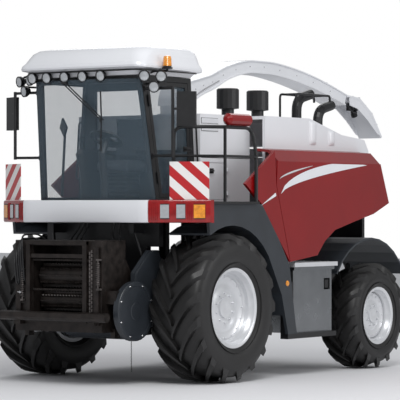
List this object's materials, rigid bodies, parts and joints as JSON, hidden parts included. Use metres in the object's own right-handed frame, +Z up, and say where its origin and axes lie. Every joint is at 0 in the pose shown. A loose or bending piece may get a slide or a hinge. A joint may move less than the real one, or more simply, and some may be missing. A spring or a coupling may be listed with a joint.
{
  "type": "forage harvester",
  "caption": "Self-propelled forage harvester with cab, pivoting feeder, swivelling discharge spout, side covers and rear steering.",
  "frame": {"origin": "middle of the whole machine's box, at floor level under the tyres", "axes": "+Z up, -Y forwards, +X to the machine's left"},
  "size_m": [3.12, 7.12, 3.9573],
  "materials": {
    "white_paint": "gloss",
    "red_paint": "gloss",
    "grey_paint": "satin",
    "black_paint": "satin",
    "silver_paint": "satin",
    "tank_metal": "satin",
    "steel": "worn",
    "tyre_rubber": "matte",
    "cab_glass": "clear",
    "seat_fabric": "matte",
    "black_plastic": "matte",
    "warning_board": "gloss"
  },
  "bodies": {
    "machine": {"bumper": "white_paint", "engine_house": "white_paint", "engine_hood": "white_paint", "cab_roof": "white_paint", "side_panel_left": "red_paint", "side_panel_right": "red_paint", "fire_extinguisher": "red_paint", "engine_block": "grey_paint", "front_axle": "grey_paint", "rear_axle": "grey_paint", "front_fender_left": "grey_paint", "front_fender_right": "grey_paint", "rear_fender_left": "grey_paint", "rear_fender_right": "grey_paint", "tool_box": "grey_paint", "drum_housing": "grey_paint", "chassis_frame": "black_paint", "platform_left": "black_paint", "platform_right": "black_paint", "exhaust_bends": "black_paint", "cab_shell": "black_paint", "fuel_tank": "tank_metal", "windscreen": "cab_glass", "right_window": "cab_glass", "rear_window": "cab_glass", "driver_seat": "seat_fabric", "steering_column": "black_plastic", "air_cleaner_1": "black_plastic", "air_cleaner_2": "black_plastic", "mirror_left": "black_plastic", "mirror_right": "black_plastic", "warning_board_left": "warning_board", "warning_board_right": "warning_board"},
    "front_wheel_left": {"tyre_front_left": "tyre_rubber", "rim_front_left": "silver_paint"},
    "rear_wheel_left": {"tyre_rear_left": "tyre_rubber", "rim_rear_left": "silver_paint"},
    "knuckle_left": {"knuckle_left": "grey_paint"},
    "cover_left": {"side_cover_left": "red_paint"},
    "lift_barrel_left": {"lift_cylinder_left": "black_paint"},
    "lift_rod_left": {"lift_rod_left": "silver_paint"},
    "front_wheel_right": {"tyre_front_right": "tyre_rubber", "rim_front_right": "silver_paint"},
    "rear_wheel_right": {"tyre_rear_right": "tyre_rubber", "rim_rear_right": "silver_paint"},
    "knuckle_right": {"knuckle_right": "grey_paint"},
    "cover_right": {"side_cover_right": "red_paint"},
    "lift_barrel_right": {"lift_cylinder_right": "black_paint"},
    "lift_rod_right": {"lift_rod_right": "silver_paint"},
    "cab_door": {"cab_door": "black_paint", "door_glass": "cab_glass"},
    "service_door": {"service_door": "white_paint"},
    "rear_door": {"rear_door": "white_paint"},
    "feeder": {"feeder_house": "steel"},
    "upper_roll": {"feed_roll_upper": "steel"},
    "lower_roll": {"feed_roll_lower": "steel"},
    "turret": {"spout_turret": "white_paint"},
    "spout": {"spout_arc": "white_paint"},
    "flap": {"spout_flap": "white_paint"}
  },
  "joints": [
    {"name": "feeder_lift", "type": "hinge", "parent": "machine", "child": "feeder", "pos_m": [0, -2.56, 0.86], "axis": [-1, 0, 0], "range_deg": [-8, 12]},
    {"name": "front_left_spin", "type": "hinge", "parent": "machine", "child": "front_wheel_left", "pos_m": [1.2, -2, 0.88], "axis": [1, 0, 0], "continuous": true},
    {"name": "steer_left", "type": "hinge", "parent": "machine", "child": "knuckle_left", "pos_m": [0.9, 1.25, 0.675], "axis": [0, 0, 1], "range_deg": [-25, 25]},
    {"name": "rear_left_spin", "type": "hinge", "parent": "knuckle_left", "child": "rear_wheel_left", "pos_m": [1.27, 1.25, 0.675], "axis": [1, 0, 0], "continuous": true},
    {"name": "cover_left_swing", "type": "hinge", "parent": "machine", "child": "cover_left", "pos_m": [1.17069, 0.16, 2.76], "axis": [0, -1, 0], "range_deg": [0, 75]},
    {"name": "lift_left_tilt", "type": "hinge", "parent": "machine", "child": "lift_barrel_left", "pos_m": [0.7, -2.24, 0.62], "axis": [-1, 0, 0], "range_deg": [-8, 10]},
    {"name": "lift_left_slide", "type": "slide", "parent": "lift_barrel_left", "child": "lift_rod_left", "axis": [0, -0.9998, -0.0217], "range_m": [-0.045, 0.06]},
    {"name": "front_right_spin", "type": "hinge", "parent": "machine", "child": "front_wheel_right", "pos_m": [-1.2, -2, 0.88], "axis": [1, 0, 0], "continuous": true},
    {"name": "steer_right", "type": "hinge", "parent": "machine", "child": "knuckle_right", "pos_m": [-0.9, 1.25, 0.675], "axis": [0, 0, 1], "range_deg": [-25, 25]},
    {"name": "rear_right_spin", "type": "hinge", "parent": "knuckle_right", "child": "rear_wheel_right", "pos_m": [-1.27, 1.25, 0.675], "axis": [1, 0, 0], "continuous": true},
    {"name": "cover_right_swing", "type": "hinge", "parent": "machine", "child": "cover_right", "pos_m": [-1.17069, 0.16, 2.76], "axis": [0, 1, 0], "range_deg": [0, 75]},
    {"name": "lift_right_tilt", "type": "hinge", "parent": "machine", "child": "lift_barrel_right", "pos_m": [-0.7, -2.24, 0.62], "axis": [-1, 0, 0], "range_deg": [-8, 10]},
    {"name": "lift_right_slide", "type": "slide", "parent": "lift_barrel_right", "child": "lift_rod_right", "axis": [0, -0.9998, -0.0217], "range_m": [-0.045, 0.06]},
    {"name": "cab_door_swing", "type": "hinge", "parent": "machine", "child": "cab_door", "pos_m": [0.84205, -2.69325, 2.855], "axis": [0.0515, 0.1286, -0.9904], "range_deg": [0, 45]},
    {"name": "service_door_swing", "type": "hinge", "parent": "machine", "child": "service_door", "pos_m": [0.93305, -1.32, 2.4], "axis": [0, 0, 1], "range_deg": [0, 100]},
    {"name": "rear_door_swing", "type": "hinge", "parent": "machine", "child": "rear_door", "pos_m": [-0.8, 1.61305, 2.4], "axis": [0, 0, 1], "range_deg": [0, 100]},
    {"name": "upper_roll_spin", "type": "hinge", "parent": "feeder", "child": "upper_roll", "pos_m": [0, -3.22, 1.27], "axis": [1, 0, 0], "continuous": true},
    {"name": "lower_roll_spin", "type": "hinge", "parent": "feeder", "child": "lower_roll", "pos_m": [0, -3.22, 0.97], "axis": [1, 0, 0], "continuous": true},
    {"name": "spout_swing", "type": "hinge", "parent": "machine", "child": "turret", "pos_m": [0, -1.08, 3.18], "axis": [0, 0, 1], "range_deg": [-105, 105]},
    {"name": "spout_lift", "type": "hinge", "parent": "turret", "child": "spout", "pos_m": [0, -1.23, 3.3203], "axis": [1, 0, 0], "range_deg": [0, 25]},
    {"name": "flap_tilt", "type": "hinge", "parent": "spout", "child": "flap", "pos_m": [0, 2.65161, 3.58381], "axis": [1, 0, 0], "range_deg": [-35, 20]}
  ],
  "couplings": [
    {"joint": "lift_left_tilt", "follows": "feeder_lift", "ratio": 0.655},
    {"joint": "lift_left_slide", "follows": "feeder_lift", "m_per_rad": 0.235},
    {"joint": "lift_right_tilt", "follows": "feeder_lift", "ratio": 0.655},
    {"joint": "lift_right_slide", "follows": "feeder_lift", "m_per_rad": 0.235},
    {"joint": "steer_right", "follows": "steer_left", "ratio": 1}
  ]
}
